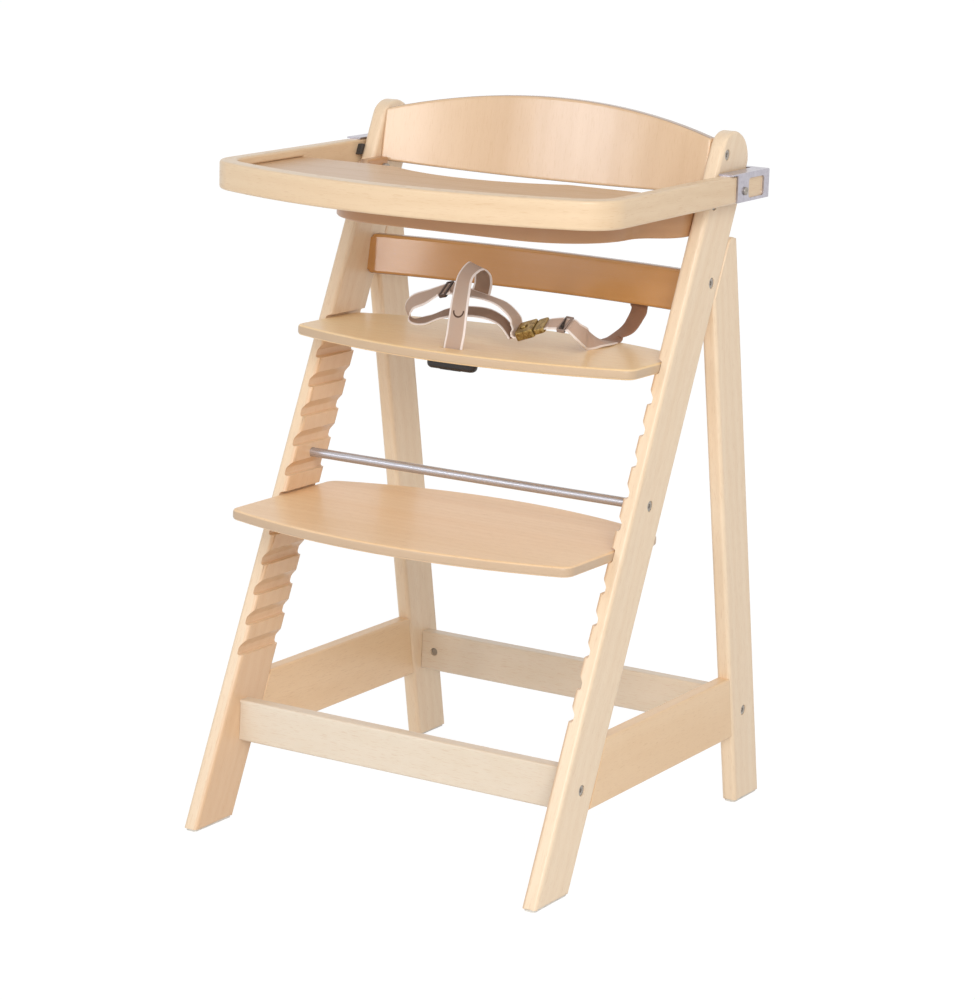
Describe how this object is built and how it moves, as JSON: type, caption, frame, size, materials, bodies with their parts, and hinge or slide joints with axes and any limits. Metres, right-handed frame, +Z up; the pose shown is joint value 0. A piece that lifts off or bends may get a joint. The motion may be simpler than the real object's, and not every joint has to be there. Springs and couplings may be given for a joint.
{
  "type": "wooden high chair",
  "caption": "Wooden stair high chair with leaning grooved legs, sliding seat and foot boards, a lift-off tray on a bent safety rail and a webbing harness.",
  "frame": {"origin": "on the floor, in the middle of the chair's footprint", "axes": "+Z up, +Y towards the back of the chair, +X to the right as seen from the front"},
  "size_m": [0.508, 0.5412, 0.822],
  "materials": {
    "beech": "clear satin lacquer",
    "beech_board": "clear satin lacquer",
    "steel": "zinc plated",
    "bright_steel": "polished",
    "webbing": "woven, with pale edges",
    "black_plastic": "matt",
    "bronze_plastic": "glossy",
    "rubber": "matt",
    "glide_plastic": "matt"
  },
  "bodies": {
    "frame": {"front_leg_left": "beech", "front_leg_right": "beech", "rear_leg_left": "beech", "rear_leg_right": "beech", "side_stretcher_left": "beech_board", "side_stretcher_right": "beech_board", "front_stretcher": "beech_board", "rear_stretcher": "beech_board", "cross_bar": "bright_steel", "upper_backrest": "beech", "lower_backrest": "beech_board", "safety_rail": "beech_board", "backrest_bolts": "steel", "stretcher_bolts": "steel", "cross_bar_bolts": "steel", "safety_rail_bolts": "steel", "backrest_nuts": "steel", "stretcher_nuts": "steel", "safety_rail_nuts": "steel", "frame_dowels": "beech_board", "backrest_dowels": "beech_board", "glide_front_left": "glide_plastic", "glide_front_right": "glide_plastic", "glide_rear_left": "glide_plastic", "glide_rear_right": "glide_plastic", "rear_strap": "webbing", "strap_screw": "steel"},
    "tray": {"tray_rim": "beech", "tray_panel": "beech", "tray_bracket_left": "bright_steel", "tray_bracket_right": "bright_steel", "bracket_screws": "steel", "tray_stop_left": "rubber", "tray_stop_right": "rubber"},
    "seat": {"seat_board": "beech", "crotch_strap": "webbing", "anchor_bar": "black_plastic", "waist_strap_left": "webbing", "adjuster_left": "black_plastic", "buckle_socket": "bronze_plastic", "waist_strap_rear": "webbing"},
    "foot": {"foot_board": "beech"},
    "tongue": {"buckle_tongue": "bronze_plastic", "waist_strap_right": "webbing", "adjuster_right": "black_plastic"},
    "button": {"release_button": "bronze_plastic"}
  },
  "joints": [
    {"name": "tray_lift", "type": "slide", "parent": "frame", "child": "tray", "axis": [0, 0.4067, 0.9135], "range_m": [0, 0.1]},
    {"name": "seat_slide", "type": "slide", "parent": "frame", "child": "seat", "axis": [0, 1, 0], "range_m": [-0.02, 0.04]},
    {"name": "foot_slide", "type": "slide", "parent": "frame", "child": "foot", "axis": [0, 1, 0], "range_m": [-0.04, 0.05]},
    {"name": "tongue_slide", "type": "slide", "parent": "seat", "child": "tongue", "axis": [0.9305, 0.1308, 0.342], "range_m": [0, 0.02]},
    {"name": "button_press", "type": "slide", "parent": "seat", "child": "button", "axis": [0.2707, 0.3834, -0.883], "range_m": [0, 0.0015], "stiffness_N_per_m": 600, "springref_m": -0.002}
  ]
}
